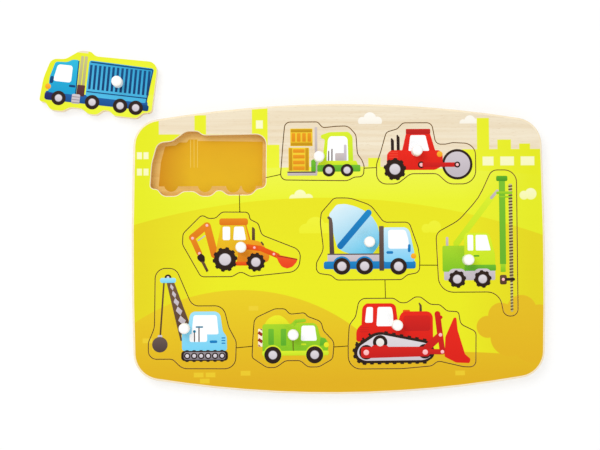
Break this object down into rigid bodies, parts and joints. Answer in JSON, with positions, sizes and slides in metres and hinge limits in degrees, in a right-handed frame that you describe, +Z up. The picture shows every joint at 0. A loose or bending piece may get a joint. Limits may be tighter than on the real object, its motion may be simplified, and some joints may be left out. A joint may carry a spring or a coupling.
{
  "type": "peg puzzle",
  "caption": "Wooden peg puzzle: loose construction vehicle tiles with round pegs lift out of sawn recesses in a bowed board.",
  "frame": {"origin": "middle of the board's underside, on the table", "axes": "+X along the board's length to the right, +Y towards the back edge, +Z up out of the printed face"},
  "size_m": [0.3697, 0.2525, 0.0195],
  "materials": {
    "bare_plywood": "clear satin lacquer on pale plywood",
    "printed_panel": "coloured print under clear satin lacquer",
    "painted_peg": "smooth satin white paint",
    "container_truck_print": "coloured print under clear satin lacquer",
    "forklift_print": "coloured print under clear satin lacquer",
    "road_roller_print": "coloured print under clear satin lacquer",
    "drill_rig_print": "coloured print under clear satin lacquer",
    "backhoe_print": "coloured print under clear satin lacquer",
    "cement_mixer_print": "coloured print under clear satin lacquer",
    "wrecking_crane_print": "coloured print under clear satin lacquer",
    "dump_truck_print": "coloured print under clear satin lacquer",
    "bulldozer_print": "coloured print under clear satin lacquer"
  },
  "bodies": {
    "board": {"base_panel": "bare_plywood", "top_panel": "printed_panel"},
    "container_truck": {"container_truck_tile": "container_truck_print", "container_truck_peg": "painted_peg"},
    "forklift": {"forklift_tile": "forklift_print", "forklift_peg": "painted_peg"},
    "road_roller": {"road_roller_tile": "road_roller_print", "road_roller_peg": "painted_peg"},
    "drill_rig": {"drill_rig_tile": "drill_rig_print", "drill_rig_peg": "painted_peg"},
    "backhoe": {"backhoe_tile": "backhoe_print", "backhoe_peg": "painted_peg"},
    "cement_mixer": {"cement_mixer_tile": "cement_mixer_print", "cement_mixer_peg": "painted_peg"},
    "wrecking_crane": {"wrecking_crane_tile": "wrecking_crane_print", "wrecking_crane_peg": "painted_peg"},
    "dump_truck": {"dump_truck_tile": "dump_truck_print", "dump_truck_peg": "painted_peg"},
    "bulldozer": {"bulldozer_tile": "bulldozer_print", "bulldozer_peg": "painted_peg"}
  },
  "joints": [
    {"name": "container_truck_lift", "type": "slide", "parent": "board", "child": "container_truck", "axis": [0, 0, 1], "range_m": [0, 0.03]},
    {"name": "forklift_lift", "type": "slide", "parent": "board", "child": "forklift", "axis": [0, 0, 1], "range_m": [0, 0.03]},
    {"name": "road_roller_lift", "type": "slide", "parent": "board", "child": "road_roller", "axis": [0, 0, 1], "range_m": [0, 0.03]},
    {"name": "drill_rig_lift", "type": "slide", "parent": "board", "child": "drill_rig", "axis": [0, 0, 1], "range_m": [0, 0.03]},
    {"name": "backhoe_lift", "type": "slide", "parent": "board", "child": "backhoe", "axis": [0, 0, 1], "range_m": [0, 0.03]},
    {"name": "cement_mixer_lift", "type": "slide", "parent": "board", "child": "cement_mixer", "axis": [0, 0, 1], "range_m": [0, 0.03]},
    {"name": "wrecking_crane_lift", "type": "slide", "parent": "board", "child": "wrecking_crane", "axis": [0, 0, 1], "range_m": [0, 0.03]},
    {"name": "dump_truck_lift", "type": "slide", "parent": "board", "child": "dump_truck", "axis": [0, 0, 1], "range_m": [0, 0.03]},
    {"name": "bulldozer_lift", "type": "slide", "parent": "board", "child": "bulldozer", "axis": [0, 0, 1], "range_m": [0, 0.03]}
  ]
}
